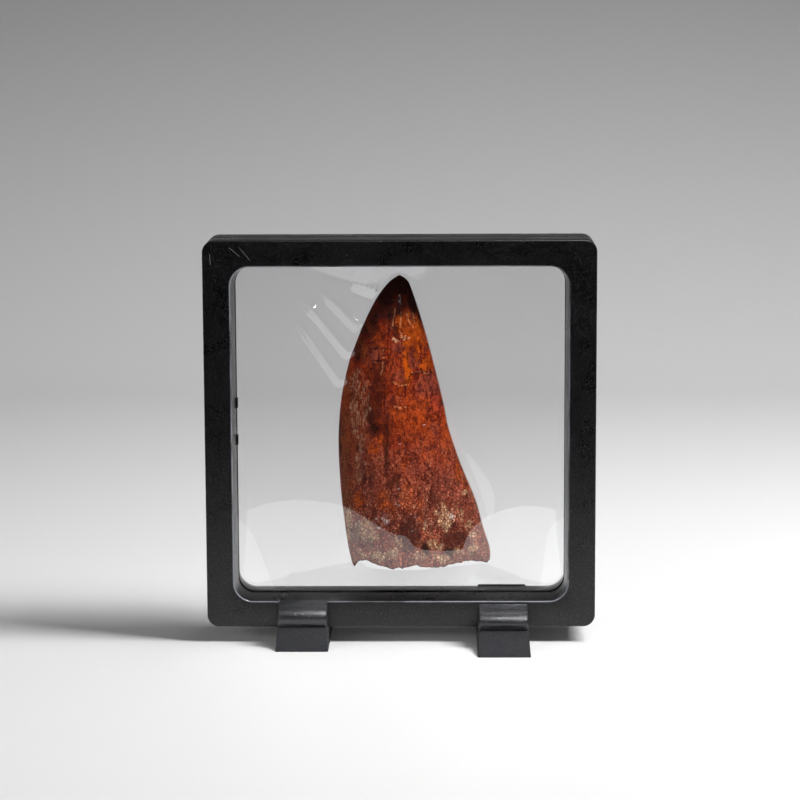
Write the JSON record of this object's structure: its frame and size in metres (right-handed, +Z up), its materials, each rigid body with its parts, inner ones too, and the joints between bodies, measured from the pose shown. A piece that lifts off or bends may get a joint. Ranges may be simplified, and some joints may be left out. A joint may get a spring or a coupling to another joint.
{
  "type": "framed fossil carcharodontosaurus tooth",
  "caption": "Curved, flattened fossil predator tooth with a serrated rear edge, held between clear stretched films in a square black frame on clip feet.",
  "frame": {"origin": "on the surface that the feet stand on, under the middle of the frame", "axes": "+Z up, -Y towards the viewer who faces the tooth, +X to that viewer's right"},
  "size_m": [0.11, 0.0554, 0.1145],
  "materials": {
    "fossil_enamel": "mineral-stained fossil enamel, red-brown with orange and near-black zones, semi-gloss",
    "frame_plastic": "finely speckled black moulded plastic",
    "clear_film": "thin clear elastic film",
    "foot_plastic": "satin black moulded plastic"
  },
  "bodies": {
    "root": {"tooth": "fossil_enamel", "frame_front": "frame_plastic", "frame_rear": "frame_plastic", "film_front": "clear_film", "film_rear": "clear_film", "foot_left": "foot_plastic", "foot_right": "foot_plastic"}
  },
  "joints": []
}
